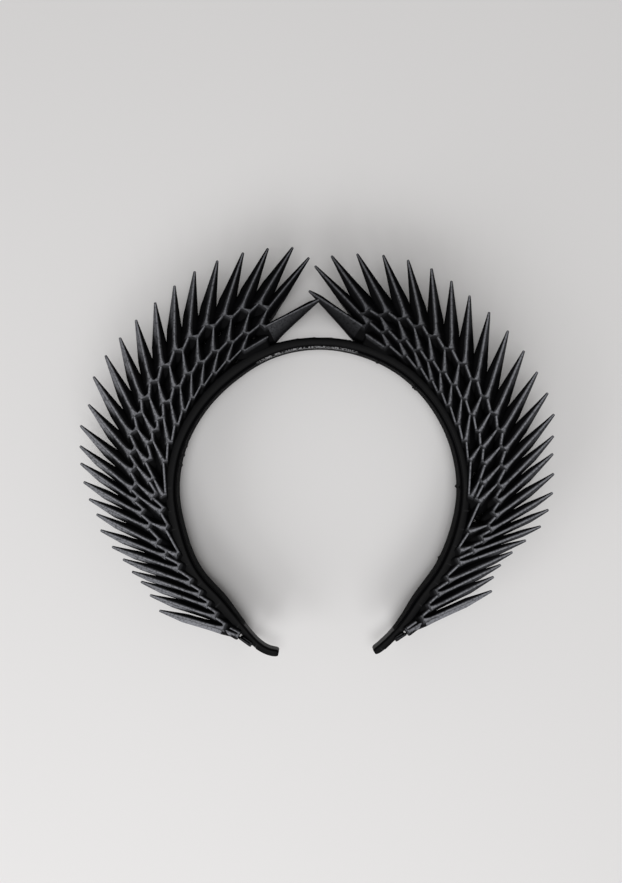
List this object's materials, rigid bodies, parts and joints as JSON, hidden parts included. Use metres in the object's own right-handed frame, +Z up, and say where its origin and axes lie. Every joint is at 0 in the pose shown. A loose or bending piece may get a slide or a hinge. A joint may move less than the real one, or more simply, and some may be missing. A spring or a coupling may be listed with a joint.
{
  "type": "origami headpiece",
  "caption": "Headband with two fans of folded black paper spikes, built of interlocked two-pronged units on a ribbon-wrapped horseshoe band",
  "frame": {"origin": "middle of the box round the piece, on the floor it lies on", "axes": "+X the wearer's side at the picture's right, +Y the crown of the band, +Z up from the floor, the face seen in the picture"},
  "size_m": [0.2158, 0.1868, 0.029],
  "materials": {
    "folded_paper": "matt black paper",
    "wrapped_ribbon": "smooth black ribbon with a faint sheen",
    "woven_ribbon": "woven black ribbon"
  },
  "bodies": {
    "root": {"head_band": "wrapped_ribbon", "inner_ribbon": "woven_ribbon", "left_unit_01": "folded_paper", "left_unit_02": "folded_paper", "left_unit_03": "folded_paper", "left_unit_04": "folded_paper", "left_unit_05": "folded_paper", "left_unit_06": "folded_paper", "left_unit_07": "folded_paper", "left_unit_08": "folded_paper", "left_unit_09": "folded_paper", "left_unit_10": "folded_paper", "left_unit_11": "folded_paper", "left_unit_12": "folded_paper", "left_unit_13": "folded_paper", "left_unit_14": "folded_paper", "left_unit_15": "folded_paper", "left_unit_16": "folded_paper", "left_unit_17": "folded_paper", "left_unit_18": "folded_paper", "left_unit_19": "folded_paper", "left_unit_20": "folded_paper", "left_unit_21": "folded_paper", "left_unit_22": "folded_paper", "left_unit_23": "folded_paper", "left_unit_24": "folded_paper", "left_unit_25": "folded_paper", "left_unit_26": "folded_paper", "left_unit_27": "folded_paper", "right_unit_01": "folded_paper", "right_unit_02": "folded_paper", "right_unit_03": "folded_paper", "right_unit_04": "folded_paper", "right_unit_05": "folded_paper", "right_unit_06": "folded_paper", "right_unit_07": "folded_paper", "right_unit_08": "folded_paper", "right_unit_09": "folded_paper", "right_unit_10": "folded_paper", "right_unit_11": "folded_paper", "right_unit_12": "folded_paper", "right_unit_13": "folded_paper", "right_unit_14": "folded_paper", "right_unit_15": "folded_paper", "right_unit_16": "folded_paper", "right_unit_17": "folded_paper", "right_unit_18": "folded_paper", "right_unit_19": "folded_paper", "right_unit_20": "folded_paper", "right_unit_21": "folded_paper", "right_unit_22": "folded_paper", "right_unit_23": "folded_paper", "right_unit_24": "folded_paper", "right_unit_25": "folded_paper", "right_unit_26": "folded_paper", "left_middle_row": "folded_paper", "left_inner_row": "folded_paper", "right_middle_row": "folded_paper", "right_inner_row": "folded_paper"}
  },
  "joints": []
}
